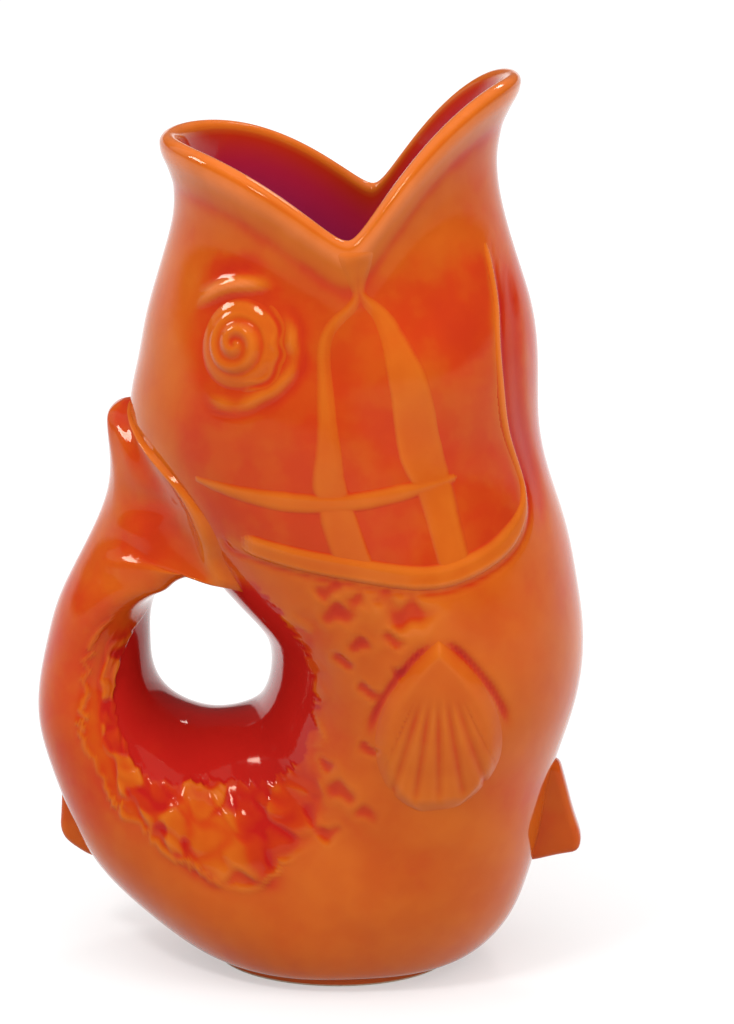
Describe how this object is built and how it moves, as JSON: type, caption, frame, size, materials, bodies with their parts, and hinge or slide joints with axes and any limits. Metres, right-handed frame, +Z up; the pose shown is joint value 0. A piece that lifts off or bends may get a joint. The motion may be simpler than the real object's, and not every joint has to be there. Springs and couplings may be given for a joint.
{
  "type": "fish pitcher",
  "caption": "Glazed ceramic pitcher in the form of an upright fish: the open mouth is the pouring lip, the hollow body holds the drink and the curled tail is the handle.",
  "frame": {"origin": "under the middle of the pitcher's box, on the surface it stands on", "axes": "+Z up, +X from the handle towards the spout, +Y to the fish's left; the plane of symmetry is Y = 0"},
  "size_m": [0.1588, 0.1158, 0.26],
  "materials": {
    "glaze": "glossy red-orange glaze",
    "raised_glaze": "the same glaze, thinner and lighter on raised clay",
    "bisque": "unglazed pale clay"
  },
  "bodies": {
    "root": {"body_shell": "glaze", "tail_handle": "glaze", "tail_fin": "glaze", "ventral_fin": "glaze", "anal_fin": "glaze", "left_eye": "raised_glaze", "right_eye": "raised_glaze", "left_pectoral_fin": "raised_glaze", "right_pectoral_fin": "raised_glaze", "left_gill_rim": "raised_glaze", "right_gill_rim": "raised_glaze", "left_cheek_frame": "raised_glaze", "right_cheek_frame": "raised_glaze", "foot_ring": "bisque"}
  },
  "joints": []
}
